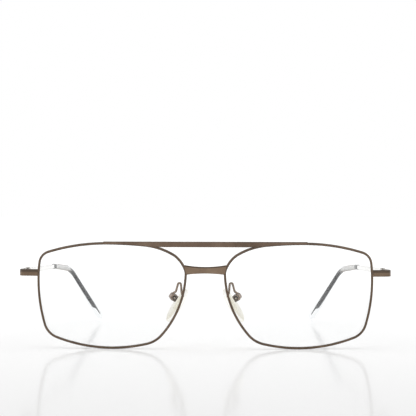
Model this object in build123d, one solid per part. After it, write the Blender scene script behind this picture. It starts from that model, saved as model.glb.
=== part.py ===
from build123d import *
import math
import os

# Double bridge glasses: two wire rims joined by a brow bar and a bridge, clear lenses, nose pads on wire
# arms, and folding temples with plastic ear tips.
# Millimetres, +Z up. The front of the frame faces -Y and the temples run back along +Y.
# Left and right are as seen from the front. The right side is modelled and the left is its mirror image.
# The frame stands as on a table, on the bottoms of its rims and on its ear tips.

# Lenses and rims
eye_width = 58.0            # nominal width of a lens, before the bow of its sides
eye_height = 41.4           # boxed height of a lens
lens_gap = 16.0             # between the two lenses at their closest
base_radius = 132.5         # curve of the front of the lens, a 4 base
wrap_offset = 9.4           # how far the curve's centre lies inward of the lens centre
front_tilt = 4.0            # degrees, top of the front leaning forward
rim_outside = 0.5           # wire outside the lens outline
rim_inside = 0.45           # wire inside the lens outline
rim_depth = 1.9             # wire from front to back
rim_rounding = 0.22
groove_width = 0.9
lens_play = 0.05            # between the lens edge and the groove
lens_thickness = 1.6
lens_setback = 0.15         # lens front behind the rim front
rim_slit = 0.12             # cut in each rim where its lock closes it

# Brow bar
bar_half_length = 40.2
bar_straight_half = 16.2    # the bar keeps its full height this far from the middle
bar_height = 2.15
bar_end_height = 1.0
bar_depth = 1.5
bar_proud = 0.6             # in front of the rims at their crest
bar_rise = 0.3              # its top above the tops of the rims
bar_inset = 0.35            # its lower face above the inner edge of the wire
bar_rounding = 0.3

# Bridge
bridge_height = 2.6         # at its middle
bridge_end_height = 3.9     # where it meets the rims
bridge_depth = 1.3
bridge_arch = 0.8           # how far its middle stands forward of its ends
bridge_drop = 11.0          # its middle below the tops of the rims
bridge_bevel = 0.4
bridge_setback = 0.08       # its ends behind the front of the rims

# Endpieces, rim locks and hinges
endpiece_height = 2.7       # of the strap, top to bottom
strap_thickness = 1.3
strap_rounding = 0.3
endpiece_reach = 7.9        # its outer face outward of the lens
endpiece_drop = 12.65       # their middle below the tops of the rims
endpiece_slope = 8.0        # degrees, its front leaf sweeps back
endpiece_setback = 0.1      # its front behind the front of the rim
endpiece_corner_radius = 2.0
hinge_reach = 6.3           # hinge axis behind the endpiece's corner
lock_length = 3.0
lock_depth = 2.4
lock_screw_radius = 0.5
lock_head_radius = 0.8
lock_head_depth = 0.4
joint_gap = 0.08            # between the end faces of endpiece and temple
barrel_radius = 1.2
barrel_height = 3.1
barrel_clearance = 0.1      # from the barrel to the straps
knuckle_gap = 0.05
leaf_length = 4.4
leaf_thickness = 0.7
leaf_height = 2.3
hinge_screw_radius = 0.6
hinge_head_radius = 0.95
hinge_head_height = 0.35
running_clearance = 0.03    # round each screw that something turns on
slot_width = 0.25
slot_depth = 0.18

# Temples and ear tips
temple_length = 140.0       # from the hinge round the bend to the end
ear_drop_length = 44.0      # from the bend to the end
ear_tip_length = 70.0       # of the plastic sleeve
temple_end_height = 1.8     # of the strap where it enters the sleeve
temple_end_thickness = 1.4
core_radius = 0.6
core_end_radius = 0.25      # of its tapered end
core_taper_length = 8.0
core_stop = 2.8             # core wire ends this far from the end of the sleeve
core_play = 0.03            # between the metal and the bore of the sleeve, all round
strap_entry = 4.0           # strap reaches this far into the sleeve
sleeve_fall = 1.0           # the mouth of the sleeve below the hinge
ear_bend_fall = 3.15        # the bend below the hinge
ear_bend_inset = 9.1        # the bend inward of the hinge end of the strap
ear_end_inset = 20.9        # the end inward of the hinge end
bow_power = 2.6             # the temple's inward bow grows with this power of the distance
ear_bend_share = 0.23       # of the sleeve between the strap's end and the bend, taken by the bend's arc
bow_share = 0.9             # of the strap's entry, taken by the arc of the slight bow there
tip_height = 4.2            # of the sleeve at its widest, near the end
tip_thickness = 2.2
tip_mouth_rounding = 0.3
tip_end_rounding = 0.5

# Nose pads
pad_length = 15.0
pad_width = 7.6
pad_thickness = 1.8
pad_rounding = 0.6
pad_lean = 32.0             # degrees, tops of the pads closer together
pad_splay = 20.0            # degrees, backs of the pads further apart
pad_standoff = 3.3          # pad centre from the screw, square to the pad
pad_drop = 2.2              # pad centre below the screw, along the pad
box_inset = 4.9             # screw outward of the nose side of the lens
box_standoff = 3.0          # screw behind the back of the rim
box_drop = 1.05             # screw below the middle of the lens
box_width = 2.4
box_height = 2.6
box_wall = 0.5
box_reach = 1.2             # walls beyond the screw, towards the pad
box_back = 1.1              # inside of the back wall from the screw
box_rounding = 0.9
lug_radius = 1.0
lug_clearance = 0.1
insert_length = 6.0
insert_width = 3.0
insert_thickness = 0.5
pad_screw_radius = 0.5
pad_head_radius = 0.85
pad_head_height = 0.3
arm_radius = 0.45
# Corners of the pad arm: outward of the lens's nose side, behind the rim's back, above the lens's middle
arm_root = (1.05, -0.3, -0.45)
arm_points = ((1.75, 1.1, 1.15), (2.0, 1.6, 4.75), (3.1, 2.0, 4.65), (4.0, 2.9, 1.2))
arm_radii = (1.2, 0.6, 0.6, 0.6)

# Cutting tools reach this far past what they cut
overrun = 1.0

# Corners of the lens outline from the nose side of the bottom, against the clock as the right lens is seen
# from the front: place from the lens centre as shares of the width and height, bow of the edge that
# follows as a share of the width, and rounding as a share of the height. A corner with no rounding is
# smooth: the edge that leaves it carries straight on from the one before.
outline_shares = (
    (-0.296, -0.442, 0.0635, 0.268),
    (0.4445, -0.3795, 0.0335, 0.183),
    (0.4935, 0.381, 0.021, 0.122),
    (0.029, 0.5, 0.0, 0.0),
    (-0.225, 0.4825, 0.0, 0.0),
    (-0.4255, 0.3865, 0.012, 0.171),
    (-0.5045, 0.224, 0.0525, 0.122),
)

# Swelling of an ear tip: place along it, thickness and height as shares of its own
tip_swell_shares = (
    (0.0, 0.86, 0.56),
    (0.36, 0.92, 0.66),
    (0.74, 1.0, 0.86),
    (0.90, 1.0, 1.0),
    (0.97, 0.97, 0.94),
    (1.0, 0.90, 0.72),
)
tip_corner_share = 0.42     # rounding of its section, of the thickness
tip_stations = 18           # evenly spaced sections that it is drawn through

# Worked out from the sizes above
lens_x = (lens_gap + eye_width) / 2
lens_z = rim_outside + eye_height / 2
curve_x = lens_x - wrap_offset
rim_top = lens_z + eye_height / 2 + rim_outside
bridge_level = rim_top - bridge_drop
endpiece_level = rim_top - endpiece_drop


def front_depth(x, z):
    """How far back the front of the lens curve lies at a place on the front."""
    away = (x - curve_x) ** 2 + (z - lens_z) ** 2
    return base_radius - math.sqrt(base_radius ** 2 - away)


def lens_outline():
    """The flat outline of the right lens, centred on its box."""
    corners = [(share[0] * eye_width, share[1] * eye_height) for share in outline_shares]
    following = corners[1:] + corners[:1]
    edges = []
    for corner, after, share in zip(corners, following, outline_shares):
        if share[3]:
            edges.append(SagittaArc(corner, after, -share[2] * eye_width))
        else:
            edges.append(TangentArc(corner, after, tangent=edges[-1] % 1))
    face = make_face(edges)
    for corner, share in zip(corners, outline_shares):
        if share[3]:
            nearest = face.vertices().sort_by_distance(Vector(*corner))[0]
            face = fillet(nearest, share[3] * eye_height)
    return face


outline = lens_outline()
nose_x = lens_x + outline.bounding_box().min.X
temple_x = lens_x + outline.bounding_box().max.X
strap_x = temple_x + endpiece_reach - strap_thickness / 2
hinge_x = strap_x - strap_thickness / 2 - barrel_clearance - barrel_radius
endpiece_y = front_depth(temple_x, endpiece_level) + endpiece_setback + strap_thickness / 2
corner_y = endpiece_y + (strap_x - temple_x) * math.tan(math.radians(endpiece_slope))
hinge_y = corner_y + hinge_reach
rim_back = front_depth(nose_x, lens_z) + rim_depth


def grown_outline(growth):
    """The lens outline with each of its arcs moved outward by the same distance."""
    arcs = []
    for edge in outline.edges():
        points = []
        for share in (0, 1 / 2, 1):
            along = edge % share
            outward = Vector(along.Y, -along.X, 0)
            if outward.dot(edge @ share) < 0:
                outward = -outward
            points.append(edge @ share + outward * growth)
        arcs.append(ThreePointArc(*points))
    return make_face(arcs)


def front_prism(shape):
    """A flat shape round the right lens, drawn out through the depth of the front."""
    back = front_depth(lens_x + eye_width, lens_z) + rim_depth
    plane = Plane(origin=(lens_x, back, lens_z), x_dir=(1, 0, 0), z_dir=(0, -1, 0))
    return extrude(plane * shape, amount=back + overrun)


def curved_slab(front, back):
    """The space between two depths behind the front of the lens curve."""
    slab = Sphere(base_radius - front) - Sphere(base_radius - back)
    return Pos(curve_x, base_radius, lens_z) * slab


def tilt(part):
    """Lean the front forward about the line through the two endpieces."""
    pivot = Pos(0, endpiece_y, endpiece_level)
    return pivot * Rot(front_tilt, 0, 0) * pivot.inverse() * part


def make_wire():
    """The rounded wire of the right rim, before it is grooved and slit."""
    ring = grown_outline(rim_outside) - grown_outline(-rim_inside)
    wire = front_prism(ring) & curved_slab(0, rim_depth)
    return fillet(wire.edges(), rim_rounding)


def make_rim(wire):
    """The right rim: its wire with a groove for the lens, slit where the lock closes it."""
    groove_front = (rim_depth - groove_width) / 2
    groove = front_prism(grown_outline(lens_play)) & curved_slab(groove_front, groove_front + groove_width)
    slit = Pos(temple_x, endpiece_y, endpiece_level) * Box(lock_length, 2 * endpiece_y, rim_slit)
    return wire - groove - slit


def make_lens():
    """The right lens, with a tongue round its edge that lies in the groove."""
    body = front_prism(grown_outline(-rim_inside - lens_play))
    body = body & curved_slab(lens_setback, lens_setback + lens_thickness)
    tongue_front = (rim_depth - groove_width) / 2 + lens_play
    tongue_back = tongue_front + groove_width - 2 * lens_play
    tongue = front_prism(outline) & curved_slab(tongue_front, tongue_back)
    return body + tongue


def both_sides(part):
    """A piece of the right side with its mirror image."""
    return part + mirror(part, about=Plane.YZ)


def make_brow_bar(wire):
    """The bar across the tops of the rims, tapering towards its ends."""
    top = rim_top + bar_rise
    low = top - bar_height
    end_low = top - bar_end_height
    half = ((0, low), (bar_straight_half, low), (bar_half_length, end_low), (bar_half_length, top))
    mirrored = [(-x, z) for x, z in reversed(half)]
    back = front_depth(curve_x, rim_top) - bar_proud + bar_depth
    plane = Plane(origin=(0, back, 0), x_dir=(1, 0, 0), z_dir=(0, -1, 0))
    bar = extrude(plane * make_face(Polyline(*half, *mirrored[:-1], close=True)), amount=bar_depth)
    front = bar.faces().sort_by(Axis.Y)[0]
    view = front_prism(grown_outline(bar_inset - rim_inside))
    return fillet(front.edges(), bar_rounding) - both_sides(view) - both_sides(wire)


def make_bridge(wire):
    """The waisted bridge between the rims, arched forward and bevelled along its front."""
    half_width = nose_x + rim_inside
    middle = bridge_height / 2
    end = bridge_end_height / 2
    top = ThreePointArc((-half_width, end), (0, middle), (half_width, end))
    side = Line((half_width, end), (half_width, -end))
    bottom = ThreePointArc((half_width, -end), (0, -middle), (-half_width, -end))
    other = Line((-half_width, -end), (-half_width, end))
    end_front = front_depth(nose_x, bridge_level) + bridge_setback
    back = end_front + bridge_depth + overrun
    plane = Plane(origin=(0, back, bridge_level), x_dir=(1, 0, 0), z_dir=(0, -1, 0))
    block = extrude(plane * make_face([top, side, bottom, other]), amount=back + overrun)

    wide = half_width + overrun
    front_arc = ThreePointArc((-wide, end_front), (0, end_front - bridge_arch), (wide, end_front))
    back_arc = ThreePointArc((wide, end_front + bridge_depth), (0, end_front - bridge_arch + bridge_depth),
                             (-wide, end_front + bridge_depth))
    band = make_face([front_arc, Line(front_arc @ 1, back_arc @ 0), back_arc, Line(back_arc @ 1, front_arc @ 0)])
    base = Plane.XY.offset(bridge_level - bridge_end_height)
    bridge = block & extrude(base * band, amount=2 * bridge_end_height)
    front = bridge.faces().sort_by(Axis.Y)[0]
    long_edges = front.edges().sort_by(SortBy.LENGTH)[-2:]
    return chamfer(long_edges, bridge_bevel) - both_sides(front_prism(outline)) - both_sides(wire)


def pad_place():
    """Where a nose pad's own axes lie: x out of its back, y from front to back, z up along it."""
    screw = Pos(nose_x + box_inset, rim_back + box_standoff, lens_z - box_drop)
    return screw * Rot(0, -pad_lean, 0) * Rot(0, 0, -pad_splay)


def make_pad_arm(wire):
    """The wire that carries the pad box: back from the rim, up, over and down into the box."""
    foot = Vector(nose_x, rim_back, lens_z)
    into_box = (pad_place() * Pos(box_back + box_wall / 2, 0, box_height / 2 - arm_radius)).position
    corners = [foot + Vector(*point) for point in (arm_root, *arm_points)]
    path = FilletPolyline(*corners, into_box, radius=arm_radii)
    start = Plane(origin=path @ 0, z_dir=path % 0)
    return sweep(start * Circle(arm_radius), path) - wire


def make_pad_box(arm):
    """The small open box on the end of the arm, in which the pad's lug rocks."""
    reach = box_back + box_wall
    shell = Pos((reach - box_reach) / 2, 0, 0) * Box(reach + box_reach, box_width, box_height)
    shell = fillet(shell.edges().filter_by(Axis.Y).sort_by(Axis.X)[-2:], box_rounding)
    slot = Pos((box_back - box_reach - overrun) / 2, 0, 0)
    shell -= slot * Box(box_back + box_reach + overrun, box_width - 2 * box_wall, box_height + overrun)
    shell -= Rot(90, 0, 0) * Cylinder(pad_screw_radius, box_width + overrun)
    return pad_place() * shell - arm


def make_pad_core():
    """The insert in the pad, with the lug that the screw goes through."""
    lug_thickness = box_width - 2 * box_wall - 2 * lug_clearance
    plate_x = -pad_standoff
    head = Rot(90, 0, 0) * Cylinder(lug_radius, lug_thickness)
    neck = Pos(plate_x / 2, 0, 0) * Box(pad_standoff, lug_thickness, 2 * lug_radius)
    plate = Pos(plate_x, 0, -pad_drop / 2) * Box(insert_thickness, insert_width, insert_length)
    core = head + neck + plate
    core -= Rot(90, 0, 0) * Cylinder(pad_screw_radius + running_clearance, lug_thickness + overrun)
    return core


def make_nose_pad(core):
    """The oval pad moulded round the insert."""
    plane = Plane(origin=(-pad_standoff, 0, -pad_drop), x_dir=(0, 1, 0), z_dir=(1, 0, 0))
    oval = extrude(plane * Ellipse(pad_width / 2, pad_length / 2), amount=pad_thickness / 2, both=True)
    return fillet(oval.edges().filter_by(GeomType.ELLIPSE), pad_rounding) - core


def make_screw(radius, length, head_radius, head_height):
    """A slotted screw with its shank along Z from zero down, and its head above zero."""
    shank = Pos(0, 0, -length / 2) * Cylinder(radius, length)
    head = Pos(0, 0, head_height / 2) * Cylinder(head_radius, head_height)
    slot = Pos(0, 0, head_height) * Box(2 * head_radius + overrun, slot_width, 2 * slot_depth)
    return shank + head - slot


def make_pad_screw():
    """The screw through box and lug, its head towards the front."""
    screw = make_screw(pad_screw_radius, box_width, pad_head_radius, pad_head_height)
    return pad_place() * Pos(0, -box_width / 2, 0) * Rot(90, 0, 0) * screw


def make_endpiece(wire):
    """The strap from the rim's edge out, round the corner and back to the hinge."""
    end_y = hinge_y - joint_gap / 2
    points = ((temple_x, endpiece_y), (strap_x, corner_y), (strap_x, end_y))
    path = Pos(0, 0, endpiece_level) * FilletPolyline(*points, radius=endpiece_corner_radius)
    start = Plane(origin=path @ 0, x_dir=(0, 0, 1), z_dir=path % 0)
    strap = sweep(start * RectangleRounded(endpiece_height, strap_thickness, strap_rounding), path)
    return strap - tilt(wire) - tilt(front_prism(outline))


def lock_centre():
    """Middle of the rim lock, behind the endpiece's front leaf."""
    x = temple_x + lock_length / 2
    return x, endpiece_y + strap_thickness / 2 + lock_depth / 2


def make_rim_lock(wire, endpiece, upward):
    """One half of the block that closes the rim: upward is 1 for the upper half and -1 for the lower."""
    x, y = lock_centre()
    half_height = (endpiece_height - rim_slit) / 2 - strap_rounding / 2
    height = endpiece_level + upward * (rim_slit + half_height) / 2
    depth = lock_depth + strap_thickness / 2
    block = Pos(x, y + (lock_depth - depth) / 2, height) * Box(lock_length, depth, half_height)
    screw = Pos(x, y, endpiece_level)
    block -= screw * Cylinder(lock_screw_radius, 2 * endpiece_height)
    if upward < 0:
        head_level = endpiece_level - rim_slit / 2 - half_height
        block -= Pos(x, y, head_level) * Cylinder(lock_head_radius, 2 * lock_head_depth)
    return block - tilt(wire) - endpiece - tilt(front_prism(outline))


def make_lock_screw():
    """The screw that draws the two halves of the lock together, from below."""
    x, y = lock_centre()
    half_height = (endpiece_height - rim_slit) / 2 - strap_rounding / 2
    seat = endpiece_level - rim_slit / 2 - half_height + lock_head_depth
    length = 2 * half_height + rim_slit - lock_head_depth
    screw = make_screw(lock_screw_radius, length, lock_head_radius, lock_head_depth)
    return Pos(x, y, seat) * Rot(180, 0, 0) * screw


def knuckle_levels():
    """Bottom and top of each of the three knuckles, from the lowest up."""
    pitch = (barrel_height + knuckle_gap) / 3
    bottom = endpiece_level - barrel_height / 2
    return [(bottom + n * pitch, bottom + n * pitch + pitch - knuckle_gap) for n in range(3)]


def make_knuckle(level, bore, towards):
    """One knuckle with the tongue that joins it to its leaf, which lies towards -Y or +Y."""
    low, high = level
    height = high - low
    inner_x = strap_x - strap_thickness / 2 - leaf_thickness
    tongue_width = inner_x + leaf_thickness - hinge_x
    tongue_length = barrel_radius + 2 * barrel_clearance
    tongue = Pos(tongue_width / 2, towards * tongue_length / 2, 0) * Box(tongue_width, tongue_length, height)
    knuckle = Cylinder(barrel_radius, height) + tongue - Cylinder(bore, 2 * height)
    return Pos(hinge_x, hinge_y, (low + high) / 2) * knuckle


def make_leaf(towards):
    """The plate brazed to the inside of a strap, starting clear of the barrel."""
    start = barrel_radius + barrel_clearance
    x = strap_x - strap_thickness / 2 - leaf_thickness / 2
    y = hinge_y + towards * (start + leaf_length / 2)
    return Pos(x, y, endpiece_level) * Box(leaf_thickness, leaf_length, leaf_height)


def make_front_hinge(endpiece):
    """The endpiece's half of the hinge: the upper and lower knuckles on their leaf."""
    levels = knuckle_levels()
    half = make_leaf(-1)
    for level in (levels[0], levels[2]):
        half += make_knuckle(level, hinge_screw_radius, -1)
    half -= seam_cutter(-1)
    return half - endpiece


def make_temple_hinge(temple):
    """The temple's half of the hinge: the middle knuckle on its leaf."""
    half = make_leaf(1) + make_knuckle(knuckle_levels()[1], hinge_screw_radius + running_clearance, 1)
    half -= seam_cutter(1)
    return half - temple


def seam_cutter(towards):
    """What would reach over the seam between endpiece and temple, outside the barrel."""
    side = Pos(strap_x - strap_thickness / 2, hinge_y - towards * overrun / 2, endpiece_level)
    reach = 2 * (strap_x - strap_thickness / 2 - hinge_x)
    block = side * Box(reach, overrun + joint_gap, 2 * barrel_height)
    return block - Pos(hinge_x, hinge_y, endpiece_level) * Cylinder(barrel_radius, 2 * barrel_height)


def make_hinge_screw():
    """The screw that the temple turns on."""
    top = endpiece_level + barrel_height / 2
    screw = make_screw(hinge_screw_radius, barrel_height, hinge_head_radius, hinge_head_height)
    return Pos(hinge_x, hinge_y, top) * screw


def temple_points(end_level):
    """Corners of the temple's centre line: hinge end, mouth of the sleeve, bend and ear end."""
    bend_y = hinge_y + temple_length - ear_drop_length
    bend_level = endpiece_level - ear_bend_fall
    drop = bend_level - end_level
    inward = ear_end_inset - ear_bend_inset
    run = math.sqrt(ear_drop_length ** 2 - drop ** 2 - inward ** 2)
    sleeve_share = (temple_length - ear_tip_length) / (temple_length - ear_drop_length)
    sleeve_y = hinge_y + temple_length - ear_tip_length
    start = Vector(strap_x, hinge_y + joint_gap / 2, endpiece_level)
    sleeve_inset = ear_bend_inset * sleeve_share ** bow_power
    mouth = Vector(strap_x - sleeve_inset, sleeve_y, endpiece_level - sleeve_fall)
    bend = Vector(strap_x - ear_bend_inset, bend_y, bend_level)
    end = Vector(strap_x - ear_end_inset, bend_y + run, end_level)
    return start, mouth, bend, end


def arc_radius(before, corner, after, lead):
    """Radius of the arc that rounds a corner, starting the lead before it."""
    turn = (corner - before).get_angle(after - corner)
    return lead / math.tan(math.radians(turn / 2))


def sleeve_path(end_level):
    """Centre line of the sleeve, from its mouth to its end."""
    start, mouth, bend, end = temple_points(end_level)
    entry = mouth + (mouth - start).normalized() * strap_entry
    bow = arc_radius(mouth, entry, bend, bow_share * strap_entry)
    ear = arc_radius(entry, bend, end, ear_bend_share * (bend - entry).length)
    return FilletPolyline(mouth, entry, bend, end, radius=(bow, ear))


def across(path, share):
    """A plane square to a path, its x level and its y up the height of the temple."""
    along = path % share
    level = Vector(along.Y, -along.X, 0).normalized()
    return Plane(origin=path @ share, x_dir=level, z_dir=along)


def grown_section(thickness, height, growth):
    """Section of the temple strap, grown all round."""
    return RectangleRounded(thickness + 2 * growth, height + 2 * growth, strap_rounding + growth)


def make_temple(end_level, growth=0):
    """The metal temple: a tapering strap and the sleeve's core wire, or that grown all round, to cut its bore."""
    start, mouth, bend, end = temple_points(end_level)
    path = sleeve_path(end_level)
    entry = mouth + (mouth - start).normalized() * strap_entry
    strap_front = Plane(origin=start, x_dir=(1, 0, 0), z_dir=(0, -1, 0))
    strap_back = Plane(origin=entry, x_dir=(1, 0, 0), z_dir=start - mouth)
    strap = loft([
        strap_front * grown_section(strap_thickness, endpiece_height, growth),
        strap_back * grown_section(temple_end_thickness, temple_end_height, growth),
    ])
    core_path = path.trim(0, 1 - (core_stop + core_taper_length) / path.length)
    core = sweep(across(core_path, 0) * Circle(core_radius + growth), core_path)
    taper = Cone(core_radius + growth, core_end_radius + growth, core_taper_length + growth)
    return strap + core + across(core_path, 1) * Pos(0, 0, (core_taper_length + growth) / 2) * taper


def tip_section(place):
    """Section of an ear tip at a share of its length."""
    for before, after in zip(tip_swell_shares, tip_swell_shares[1:]):
        if before[0] <= place <= after[0]:
            along = (place - before[0]) / (after[0] - before[0])
            width = tip_thickness * (before[1] + along * (after[1] - before[1]))
            height = tip_height * (before[2] + along * (after[2] - before[2]))
    return RectangleRounded(width, height, width * tip_corner_share)


def make_ear_tip(end_level):
    """The plastic sleeve, thin at its mouth and swelling to a flat paddle."""
    path = sleeve_path(end_level)
    places = [n / tip_stations for n in range(tip_stations)] + [tip_swell_shares[-2][0], 1]
    sleeve = loft([across(path, place) * tip_section(place) for place in places])
    sleeve = fillet(sleeve.faces().sort_by_distance(path @ 0)[0].edges(), tip_mouth_rounding)
    return fillet(sleeve.faces().sort_by_distance(path @ 1)[0].edges(), tip_end_rounding)


def make_side(wire):
    """Every piece of the right side by name, with the ear tip down to the level of the rim's lowest point."""
    rim = tilt(make_rim(wire))
    endpiece = make_endpiece(wire)

    floor = rim.bounding_box().min.Z
    first_level = floor + tip_height / 2
    sunk = floor - make_ear_tip(first_level).bounding_box().min.Z
    end_level = first_level + sunk
    temple = make_temple(end_level)

    arm = make_pad_arm(wire)
    core = make_pad_core()
    return {
        "rim": rim,
        "lens": tilt(make_lens()),
        "pad_arm": tilt(arm),
        "pad_box": tilt(make_pad_box(arm)),
        "pad_core": tilt(pad_place() * core),
        "nose_pad": tilt(pad_place() * make_nose_pad(core)),
        "pad_screw": tilt(make_pad_screw()),
        "endpiece": endpiece,
        "rim_lock_upper": make_rim_lock(wire, endpiece, 1),
        "rim_lock_lower": make_rim_lock(wire, endpiece, -1),
        "rim_lock_screw": make_lock_screw(),
        "hinge_front": make_front_hinge(endpiece),
        "hinge_temple": make_temple_hinge(temple),
        "hinge_screw": make_hinge_screw(),
        "temple": temple,
        "temple_tip": make_ear_tip(end_level) - make_temple(end_level, core_play),
    }


def make_glasses():
    """All pieces by name, with the middle of the floor under them at the origin."""
    wire = make_wire()
    pieces = {"brow_bar": tilt(make_brow_bar(wire)), "bridge": tilt(make_bridge(wire))}
    for name, piece in make_side(wire).items():
        pieces[name + "_right"] = piece
        pieces[name + "_left"] = mirror(piece, about=Plane.YZ)
    boxes = [piece.bounding_box() for piece in pieces.values()]
    low = min(box.min.Z for box in boxes)
    middle = (min(box.min.Y for box in boxes) + max(box.max.Y for box in boxes)) / 2
    return {name: Pos(0, -middle, -low) * piece for name, piece in pieces.items()}


if __name__ == "__main__":
    os.makedirs("parts", exist_ok=True)
    for node, solid in make_glasses().items():
        export_step(solid, os.path.join("parts", node + ".step"))
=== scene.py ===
import bpy
import bmesh
import math
from mathutils import Matrix, Vector


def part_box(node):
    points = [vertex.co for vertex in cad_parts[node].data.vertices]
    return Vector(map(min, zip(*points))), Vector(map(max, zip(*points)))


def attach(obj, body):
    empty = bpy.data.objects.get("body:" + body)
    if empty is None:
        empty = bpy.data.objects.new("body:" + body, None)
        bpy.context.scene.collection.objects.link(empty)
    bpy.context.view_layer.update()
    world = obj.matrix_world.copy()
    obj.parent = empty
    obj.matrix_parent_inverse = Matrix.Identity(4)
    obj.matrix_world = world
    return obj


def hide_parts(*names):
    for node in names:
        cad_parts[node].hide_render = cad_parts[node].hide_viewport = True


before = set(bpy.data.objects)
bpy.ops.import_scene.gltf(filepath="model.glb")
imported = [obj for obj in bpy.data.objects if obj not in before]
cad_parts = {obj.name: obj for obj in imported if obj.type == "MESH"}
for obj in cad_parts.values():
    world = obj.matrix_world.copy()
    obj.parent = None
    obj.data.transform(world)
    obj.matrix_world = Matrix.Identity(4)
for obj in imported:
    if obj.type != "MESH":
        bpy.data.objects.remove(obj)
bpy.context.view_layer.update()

MM = 0.001
WHITE = (1, 1, 1)
RELIEF = 0.02 * MM                  # depth of the finest marks on a surface


# Building blocks of the materials

def feed(tree, value, socket):
    """Give an input another node's output, or a plain number, vector or colour."""
    if isinstance(value, bpy.types.NodeSocket):
        tree.links.new(value, socket)
    elif socket.type == "RGBA":
        socket.default_value = (*value, 1)
    else:
        socket.default_value = value


def add(tree, kind, *inputs, **named):
    """A node with its first inputs in order, then inputs and properties by name, where _ is a space."""
    node = tree.nodes.new(kind)
    for key, value in named.items():
        label = key.replace("_", " ")
        if label in node.inputs:
            feed(tree, value, node.inputs[label])
        else:
            setattr(node, key, value)
    for value, socket in zip(inputs, node.inputs):
        feed(tree, value, socket)
    return node


def new_material(name):
    """A material with an empty tree."""
    mat = bpy.data.materials.new(name)
    mat.use_nodes = True
    mat.node_tree.nodes.clear()
    return mat, mat.node_tree


def position(tree):
    """Place on the object, in metres, the same on every piece."""
    return add(tree, "ShaderNodeTexCoord").outputs["Object"]


def apart(tree, vector):
    """A vector's X, Y and Z by name."""
    return add(tree, "ShaderNodeSeparateXYZ", vector).outputs


def along(tree, letter):
    """Place on the object along X, Y or Z, in metres."""
    return apart(tree, position(tree))[letter]


def calc(tree, operation, *terms):
    """The result of a sum on one or two values."""
    return add(tree, "ShaderNodeMath", *terms, operation=operation).outputs[0]


def noise(tree, scale, detail):
    """Noise over the object, from 0 to 1."""
    return add(tree, "ShaderNodeTexNoise", position(tree), Scale=scale, Detail=detail).outputs["Fac"]


def span(tree, value, low, high, to_low, to_high):
    """A value stretched from one span to another and held at its ends."""
    return add(tree, "ShaderNodeMapRange", value, low, high, to_low, to_high, clamp=True).outputs[0]


def ramp(tree, fac, stops):
    """Colours against a factor: (place, (r, g, b))."""
    node = add(tree, "ShaderNodeValToRGB", fac)
    band = node.color_ramp
    while len(band.elements) < len(stops):
        band.elements.new(0.5)
    for element, (place, colour) in zip(band.elements, stops):
        element.position = place
        element.color = (*colour, 1)
    return node.outputs["Color"]


def mix(tree, fac, first, second):
    """One colour turning into another as the factor grows."""
    node = add(tree, "ShaderNodeMix", fac, data_type="RGBA")
    feed(tree, first, node.inputs[6])
    feed(tree, second, node.inputs[7])
    return node.outputs[2]


def mix_shaders(tree, fac, first, second):
    """One shader turning into another as the factor grows."""
    return add(tree, "ShaderNodeMixShader", fac, first, second).outputs[0]


def mottled(tree, scale, colour, change):
    """A colour that clouds over towards a multiple of itself."""
    cloud = span(tree, noise(tree, scale, 3), 0.3, 0.7, 0.0, 1.0)
    return mix(tree, cloud, colour, [part * change for part in colour])


def painted_edge_shade(tree, radius, most):
    """Mask of the painted shade along edges: the most on sharp outer edges, and 0 on flats."""
    rounded = add(tree, "ShaderNodeBevel", samples=4, Radius=radius).outputs["Normal"]
    flat = add(tree, "ShaderNodeNewGeometry").outputs["Normal"]
    alike = add(tree, "ShaderNodeVectorMath", rounded, flat, operation="DOT_PRODUCT").outputs["Value"]
    return span(tree, alike, 0.80, 0.995, most, 0.0)


def bump(tree, height, strength):
    """Fine relief on a surface."""
    node = add(tree, "ShaderNodeBump", Strength=strength, Distance=RELIEF, Height=height)
    return node.outputs["Normal"]


# Metals

# Colours of the deep, middle and light patches, roughness, colour of the painted shade on the edges, and
# weight of the lacquer
METALS = {
    "frame_metal": ((0.172, 0.112, 0.069), (0.218, 0.146, 0.094), (0.270, 0.190, 0.127),
                    0.30, (0.085, 0.055, 0.036), 0.5),
    # the brow bar's plating, darkened below the frame's as painted shade
    "bar_metal_painted_shade": ((0.120, 0.076, 0.048), (0.156, 0.101, 0.066), (0.210, 0.145, 0.100),
                  0.30, (0.070, 0.045, 0.028), 0.5),
    # the rims' plating, darkened well below the frame's as painted shade
    "rim_metal_painted_shade": ((0.092, 0.060, 0.038), (0.120, 0.079, 0.050), (0.160, 0.109, 0.072),
                  0.30, (0.060, 0.038, 0.024), 0.5),
    # the end straps' plating, darkened below the frame's as painted shade
    "strap_metal_painted_shade": ((0.125, 0.080, 0.048), (0.170, 0.113, 0.070), (0.230, 0.160, 0.105),
                    0.28, (0.070, 0.045, 0.028), 0.5),
    "temple_metal": ((0.165, 0.109, 0.072), (0.210, 0.142, 0.098), (0.262, 0.185, 0.131),
                     0.20, (0.085, 0.055, 0.036), 1.0),
    "hinge_metal": ((0.60, 0.58, 0.55), (0.72, 0.70, 0.67), (0.80, 0.78, 0.76),
                    0.22, (0.50, 0.48, 0.45), 0.8),
    "screw_metal": ((0.24, 0.18, 0.125), (0.34, 0.27, 0.195), (0.45, 0.375, 0.285),
                    0.26, (0.20, 0.150, 0.105), 0.0),
    # the pad screws' metal, lighter as part of the painted highlight on their heads
    "pad_screw_highlight_metal": ((0.30, 0.225, 0.150), (0.42, 0.33, 0.230), (0.52, 0.43, 0.32),
                        0.26, (0.12, 0.085, 0.055), 0.0),
}

# colour of the temples' faces that point towards the head
INNER_PALE = (0.72, 0.70, 0.67)
BARE_WIRE = (0.045, 0.045, 0.047)
MOUTH_SHADE = (0.010, 0.009, 0.008)
SCREW_HIGHLIGHT = (0.75, 0.64, 0.48)
SCREW_SHADE = (0.050, 0.033, 0.021)

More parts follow.
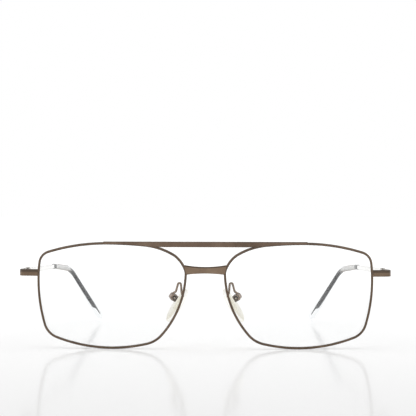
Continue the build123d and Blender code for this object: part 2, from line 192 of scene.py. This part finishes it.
EDGE_RADIUS = 0.16 * MM             # how far from an edge its painted shade reaches
STRAP_PAINTED_SHADE = 0.45                  # share of its colour that the end strap keeps in its upper half, as painted shade
STRAP_RISE = 0.2 * MM               # where that painted shade begins, above the strap's middle
STRAP_BLEND = 0.25 * MM
WIRE_START = 22.0 * MM              # where the bare wire begins, behind the mouth of the ear tip
WIRE_BLEND = 4.0 * MM
MOUTH_FRONT = 0.6 * MM              # painted shade on the temple's strap, before and behind the mouth of the ear tip
MOUTH_BACK = 4.4 * MM
MOUTH_BLEND = 0.5 * MM
SCREW_INNER = 0.30 * MM             # where the painted shade round the painted highlight on the pad screw's head begins and is full
SCREW_OUTER = 0.45 * MM

# A point on the axis of the right nose pad's screw, and the axis
PAD_SCREW = (0.0126580, -0.0654063, 0.0204864)
PAD_AXIS = (0.29005, 0.92476, 0.24635)


def satin_metal(name, deep, mid, light, rough, shaded_edge_colour, lacquer):
    """Antique plated metal: mottled at two scales, finely brushed, and darker along its edges as painted
    shade.
    """
    mat, tree = new_material(name)
    grain = noise(tree, 1500, 3)
    colour = ramp(tree, noise(tree, 160, 4), ((0.30, deep), (0.52, mid), (0.78, light)))
    colour = mix(tree, span(tree, grain, 0.35, 0.75, 0.0, 0.22), colour, light)
    # painted shade along the edges
    colour = mix(tree, painted_edge_shade(tree, EDGE_RADIUS, 0.75), colour, shaded_edge_colour)
    shader = add(tree, "ShaderNodeBsdfPrincipled", Base_Color=colour, Metallic=1.0,
                 Roughness=span(tree, noise(tree, 420, 4), 0.3, 0.7, rough - 0.06, rough + 0.08),
                 Normal=bump(tree, grain, 0.10),
                 Coat_Weight=lacquer, Coat_Roughness=0.12, Coat_IOR=1.6)
    add(tree, "ShaderNodeOutputMaterial", shader.outputs[0])
    return mat


def parts_of(mat):
    """A metal's tree, the shader's inputs, and the colour that it has so far."""
    tree = mat.node_tree
    shader = next(node for node in tree.nodes if node.type == "BSDF_PRINCIPLED")
    return tree, shader.inputs, shader.inputs["Base Color"].links[0].from_socket


def paint_shade_above(mat, level, blend, share):
    """Paint shade on a metal above a level, darkening it down to a share of its colour."""
    tree, inputs, plated = parts_of(mat)
    factor = span(tree, along(tree, "Z"), level - blend, level + blend, 1.0, share)
    shaded = add(tree, "ShaderNodeVectorMath", plated, operation="SCALE", Scale=factor).outputs[0]
    feed(tree, shaded, inputs["Base Color"])


def pale_inside(mat, pale):
    """Make a temple's metal paler on the side that faces the head."""
    tree, inputs, plated = parts_of(mat)
    facing = apart(tree, add(tree, "ShaderNodeNewGeometry").outputs["Normal"])["X"]
    outward = calc(tree, "MULTIPLY", calc(tree, "SIGN", along(tree, "X")), facing)
    inside = span(tree, outward, -0.30, -0.05, 1.0, 0.0)
    feed(tree, mix(tree, inside, plated, mottled(tree, 300, pale, 0.85)), inputs["Base Color"])


def bare(mat, share, colour):
    """Turn a metal into another colour by a share, with no lacquer there."""
    tree, inputs, plated = parts_of(mat)
    feed(tree, mix(tree, share, plated, colour), inputs["Base Color"])
    coat = inputs["Coat Weight"]
    before = coat.links[0].from_socket if coat.links else coat.default_value
    feed(tree, calc(tree, "MULTIPLY", before, span(tree, share, 0.0, 1.0, 1.0, 0.0)), coat)


def bare_behind(mat, start, blend, colour):
    """Bare wire further back than a place along Y: the core inside the ear tip."""
    tree = mat.node_tree
    begun = span(tree, along(tree, "Y"), start, start + blend, 0.0, 1.0)
    bare(mat, begun, mottled(tree, 500, colour, 1.5))


def painted_shade_between(mat, start, end, blend, colour):
    """Painted shade on the metal between two places along Y, where the strap's end is seen through the mouth
    of the ear tip.
    """
    tree = mat.node_tree
    begun = span(tree, along(tree, "Y"), start, start + blend, 0.0, 1.0)
    before_end = span(tree, along(tree, "Y"), end - blend, end, 1.0, 0.0)
    bare(mat, calc(tree, "MULTIPLY", begun, before_end), colour)


def ring(mat, centre, axis, inner, outer, bright, dark):
    """Painted highlight in the middle of each screw's head and painted shade round it, about an axis given
    for the right side.
    """
    tree, inputs, grained = parts_of(mat)
    aside = calc(tree, "ABSOLUTE", along(tree, "X"))
    place = add(tree, "ShaderNodeCombineXYZ", aside, along(tree, "Y"), along(tree, "Z"))
    away = add(tree, "ShaderNodeVectorMath", place.outputs[0], centre, operation="SUBTRACT")
    across = add(tree, "ShaderNodeVectorMath", away.outputs[0], axis, operation="CROSS_PRODUCT")
    reach = add(tree, "ShaderNodeVectorMath", across.outputs[0], operation="LENGTH").outputs["Value"]
    far = span(tree, reach, inner, outer, 0.0, 1.0)
    feed(tree, mix(tree, far, mix(tree, 0.5, grained, bright), dark), inputs["Base Color"])


metals = {name: satin_metal(name, *look) for name, look in METALS.items()}

strap_low, strap_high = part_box("endpiece_right")
strap_middle = (strap_low.z + strap_high.z) / 2
# painted shade on the upper half of the end straps
paint_shade_above(metals["strap_metal_painted_shade"], strap_middle + STRAP_RISE, STRAP_BLEND, STRAP_PAINTED_SHADE)

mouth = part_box("temple_tip_right")[0].y
pale_inside(metals["temple_metal"], INNER_PALE)
bare_behind(metals["temple_metal"], mouth + WIRE_START, WIRE_BLEND, BARE_WIRE)
# painted shade where the strap enters the ear tip
painted_shade_between(metals["temple_metal"], mouth - MOUTH_FRONT, mouth + MOUTH_BACK, MOUTH_BLEND, MOUTH_SHADE)

# painted highlight and painted shade on the pad screws' heads
ring(metals["pad_screw_highlight_metal"], PAD_SCREW, PAD_AXIS, SCREW_INNER, SCREW_OUTER, SCREW_HIGHLIGHT, SCREW_SHADE)


# Clear materials

def pass_light(tree, surface, tint):
    """Let the light of the lamps pass with a slight tint, where glass would give full shade."""
    shadow = add(tree, "ShaderNodeBsdfTransparent", tint).outputs[0]
    rays = add(tree, "ShaderNodeLightPath").outputs
    add(tree, "ShaderNodeOutputMaterial", mix_shaders(tree, rays["Is Shadow Ray"], surface, shadow))


def close_fit(tree, surface):
    """Light leaves the plastic unbent, as where it touches what is moulded into it."""
    leaving = add(tree, "ShaderNodeBsdfTransparent", WHITE).outputs[0]
    return mix_shaders(tree, add(tree, "ShaderNodeNewGeometry").outputs["Backfacing"], surface, leaving)


def clear_lens():
    """Clear coated plastic that lets the lamps through, with the faintest smears."""
    mat, tree = new_material("clear_lens")
    colour = ramp(tree, noise(tree, 60, 2), ((0.3, (0.985, 0.992, 0.990)), (0.7, (0.995, 0.998, 0.998))))
    shader = add(tree, "ShaderNodeBsdfPrincipled", Base_Color=colour, Transmission_Weight=1.0, IOR=1.5,
                 Roughness=span(tree, noise(tree, 220, 4), 0.45, 0.75, 0.0, 0.02),
                 Normal=bump(tree, noise(tree, 90, 2), 0.01))
    pass_light(tree, shader.outputs[0], (0.96, 0.97, 0.97))
    return mat


def soft_clear(name, thin, thick, rough, passing):
    """Clear silicone or plastic, yellower where it is seen through its thickness."""
    mat, tree = new_material(name)
    facing = add(tree, "ShaderNodeLayerWeight", Blend=0.5).outputs["Facing"]
    depth = calc(tree, "ADD", facing, span(tree, noise(tree, 260, 3), 0.3, 0.7, -0.06, 0.06))
    shader = add(tree, "ShaderNodeBsdfPrincipled", Transmission_Weight=passing, IOR=1.41,
                 Base_Color=ramp(tree, depth, ((0.25, thin), (0.85, thick))),
                 Roughness=span(tree, noise(tree, 900, 3), 0.3, 0.7, rough - 0.03, rough + 0.05),
                 Normal=bump(tree, noise(tree, 900, 2), 0.03))
    pass_light(tree, close_fit(tree, shader.outputs[0]), thin)
    return mat


def clear_plastic():
    """Clear, faintly smoky plastic that lets most light through, with handling marks."""
    mat, tree = new_material("ear_tip_plastic")
    colour = ramp(tree, noise(tree, 120, 4), ((0.3, (0.90, 0.925, 0.95)), (0.7, (0.94, 0.955, 0.97))))
    shader = add(tree, "ShaderNodeBsdfPrincipled", Base_Color=colour, Transmission_Weight=1.0, IOR=1.36,
                 Roughness=span(tree, noise(tree, 700, 5), 0.35, 0.75, 0.02, 0.07),
                 Normal=bump(tree, noise(tree, 300, 3), 0.02))
    pass_light(tree, close_fit(tree, shader.outputs[0]), (0.86, 0.88, 0.90))
    return mat


silicone = soft_clear("pad_silicone", (0.94, 0.925, 0.86), (0.60, 0.52, 0.27), 0.06, 1.0)
insert_clear = soft_clear("pad_insert", (0.93, 0.91, 0.84), (0.80, 0.72, 0.50), 0.10, 0.97)


# Which pieces have which finish, by the start of their names: the last row that fits counts
FINISHES = (
    ("", metals["frame_metal"]),
    ("lens", clear_lens()),
    ("pad_core", insert_clear),
    ("pad_screw", metals["pad_screw_highlight_metal"]),
    ("brow_bar", metals["bar_metal_painted_shade"]),
    ("hinge_", metals["hinge_metal"]),
    ("rim_", metals["rim_metal_painted_shade"]),
    ("rim_lock", metals["frame_metal"]),
    ("rim_lock_screw", metals["screw_metal"]),
    ("endpiece", metals["strap_metal_painted_shade"]),
    ("temple_", metals["temple_metal"]),
    ("temple_tip", clear_plastic()),
)
for node_name, node_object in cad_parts.items():
    finish = [mat for start, mat in FINISHES if node_name.startswith(start)][-1]
    for place in node_object.material_slots:
        place.material = finish


# Nose pads

PAD_LENGTH = 15.0 * MM
PAD_WIDTH = 7.6 * MM
PAD_THICKNESS = 1.8 * MM
PAD_TURNS = (4.0, -32.0, -20.0)     # front's tilt, pad's lean and its splay, in degrees
PAD_ROUND = 48                      # points round the oval
PAD_TRIM = 0.97                     # keeps the fuller lower end within the width
PAD_TAPER = 0.10                    # slimmer at the top and fuller at the bottom
PAD_SLIM = 0.03                     # slimmer at both ends

# From the middle of the back round the edge to the middle of the front: share of the oval, share of the
# half thickness. The back has a low lip round a shallow hollow, and the front is domed.
PAD_PROFILE = (
    (0.00, 0.55), (0.35, 0.56), (0.60, 0.62), (0.76, 0.84), (0.88, 0.92), (0.96, 0.72), (1.00, 0.30),
    (1.00, -0.12), (0.96, -0.48), (0.87, -0.72), (0.70, -0.88), (0.45, -0.97), (0.20, -1.00), (0.00, -1.00),
)


def pad_place(side):
    """Where a pad sits: x out of its back, y from front to back, z up along it."""
    tilt, lean, splay = (math.radians(turn) for turn in PAD_TURNS)
    turn = Matrix.Rotation(tilt, 3, "X") @ Matrix.Rotation(lean, 3, "Y") @ Matrix.Rotation(splay, 3, "Z")
    low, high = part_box("nose_pad_right")
    place = Matrix.Translation((low + high) / 2) @ turn.to_4x4()
    if side == "left":
        place = Matrix.Diagonal((-1, 1, 1, 1)) @ place
    return place


def pad_ring(share, height):
    """One ring of points round the pad, or a single one in its middle."""
    points = []
    for n in range(PAD_ROUND if share else 1):
        angle = 2 * math.pi * n / PAD_ROUND
        up = math.sin(angle) * share
        across = math.cos(angle) * share * (1 - PAD_TAPER * up - PAD_SLIM * up * up) * PAD_TRIM
        points.append(Vector((height * PAD_THICKNESS / 2, across * PAD_WIDTH / 2, up * PAD_LENGTH / 2)))
    return points


def make_pad(side):
    """A soft oval pad with a domed face, fuller at its lower end."""
    mesh = bmesh.new()
    place = pad_place(side)
    rings = [[mesh.verts.new(place @ point) for point in pad_ring(*row)] for row in PAD_PROFILE]
    for first, second in zip(rings, rings[1:]):
        for n in range(PAD_ROUND):
            after = (n + 1) % PAD_ROUND
            if len(first) == 1:
                corners = (first[0], second[after], second[n])
            elif len(second) == 1:
                corners = (first[n], first[after], second[0])
            else:
                corners = (first[n], first[after], second[after], second[n])
            mesh.faces.new(corners)
    bmesh.ops.recalc_face_normals(mesh, faces=mesh.faces)
    for face in mesh.faces:
        face.smooth = True
    data = bpy.data.meshes.new("soft_pad_" + side)
    mesh.to_mesh(data)
    mesh.free()
    data.materials.append(silicone)
    pad = bpy.data.objects.new("soft_pad_" + side, data)
    bpy.context.collection.objects.link(pad)
    rounding = pad.modifiers.new("rounding", "SUBSURF")
    rounding.levels = 1
    rounding.render_levels = 1
    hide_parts("nose_pad_" + side)
    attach(pad, "nose_pad_body_" + side)


for pad_side in ("left", "right"):
    make_pad(pad_side)


# Floor, light and camera

FLOOR_SIZE = 9.0
FLOOR_MIDDLE = 2.0

# Glow of the floor where it is seen or mirrored, from near the camera to far behind the object
GLOW_NEAR = -0.26
GLOW_FAR = 0.44
FLOOR_GLOW = tuple((place, (glow, glow, glow)) for place, glow in (
    (0.04, 0.118), (0.14, 0.147), (0.26, 0.182), (0.37, 0.204), (0.67, 0.238), (1.0, 0.450)))

STUDIO_LIGHT = 0.62                 # strength of the even light round the object
LAMP_AIM = Vector((0, 0, 0.02))

CAMERA_PLACE = (0.00098, -0.5897, 0.05598)
CAMERA_ROLL = -0.16                 # degrees, as the glasses stand in the photo
CAMERA_LENS = 113.8


def make_floor():
    """A wide white glossy floor with a faint blurred reflection, going into white with distance."""
    bpy.ops.mesh.primitive_plane_add(size=FLOOR_SIZE, location=(0, FLOOR_MIDDLE, 0))
    floor = bpy.context.object
    floor.name = "floor"
    mat, tree = new_material("floor_white")
    plain = add(tree, "ShaderNodeBsdfDiffuse", (0.80, 0.80, 0.80)).outputs[0]
    gloss = add(tree, "ShaderNodeBsdfGlossy", WHITE, Roughness=0.11).outputs[0]
    sheen = span(tree, add(tree, "ShaderNodeFresnel", IOR=1.45).outputs[0], 0.20, 0.75, 0.0, 0.42)
    rays = add(tree, "ShaderNodeLightPath").outputs
    seen = calc(tree, "MAXIMUM", rays["Is Camera Ray"], rays["Is Glossy Ray"])
    seen = calc(tree, "MAXIMUM", seen, rays["Is Transmission Ray"])
    back = apart(tree, add(tree, "ShaderNodeNewGeometry").outputs["Position"])["Y"]
    reach = ramp(tree, span(tree, back, GLOW_NEAR, GLOW_FAR, 0.0, 1.0), FLOOR_GLOW)
    glow = add(tree, "ShaderNodeEmission", WHITE, calc(tree, "MULTIPLY", reach, seen)).outputs[0]
    total = add(tree, "ShaderNodeAddShader", mix_shaders(tree, sheen, plain, gloss), glow).outputs[0]
    add(tree, "ShaderNodeOutputMaterial", total)
    floor.data.materials.append(mat)


def make_world():
    """An even soft light, white where it is seen, and darker overhead where metal mirrors it."""
    world = bpy.data.worlds.new("studio")
    bpy.context.scene.world = world
    world.use_nodes = True
    tree = world.node_tree
    tree.nodes.clear()
    height = apart(tree, add(tree, "ShaderNodeTexCoord").outputs["Generated"])["Z"]
    light = add(tree, "ShaderNodeBackground", WHITE, STUDIO_LIGHT).outputs[0]
    white = add(tree, "ShaderNodeBackground", WHITE, 1.0).outputs[0]
    mirrored = add(tree, "ShaderNodeBackground", WHITE, span(tree, height, 0.35, 0.9, 1.0, 0.35)).outputs[0]
    rays = add(tree, "ShaderNodeLightPath").outputs
    seen = calc(tree, "MAXIMUM", rays["Is Camera Ray"], rays["Is Transmission Ray"])
    unseen = mix_shaders(tree, rays["Is Glossy Ray"], light, mirrored)
    add(tree, "ShaderNodeOutputWorld", mix_shaders(tree, seen, unseen, white))


def lamp(name, place, size, power, mirrored):
    """A soft square lamp that shines at the object, and may show in its gloss."""
    data = bpy.data.lights.new(name, "AREA")
    data.size = size
    data.energy = power
    light = bpy.data.objects.new(name, data)
    light.location = place
    light.rotation_mode = "QUATERNION"
    light.rotation_quaternion = (LAMP_AIM - Vector(place)).to_track_quat("-Z", "Y")
    light.visible_glossy = mirrored
    bpy.context.collection.objects.link(light)


make_floor()
make_world()
lamp("top", (0.0, 0.05, 1.1), 0.9, 3.0, False)
lamp("front_left", (-0.7, -0.9, 0.7), 0.5, 1.6, True)
lamp("front_right", (0.8, -0.8, 0.6), 0.5, 1.2, True)

camera = bpy.data.objects.new("camera", bpy.data.cameras.new("camera"))
camera.data.sensor_width = 36
camera.data.lens = CAMERA_LENS
camera.data.clip_start = 0.01
camera.location = CAMERA_PLACE
camera.rotation_euler = (math.radians(90), math.radians(CAMERA_ROLL), 0)
bpy.context.collection.objects.link(camera)
bpy.context.scene.camera = camera
bpy.context.scene.view_settings.view_transform = "Standard"
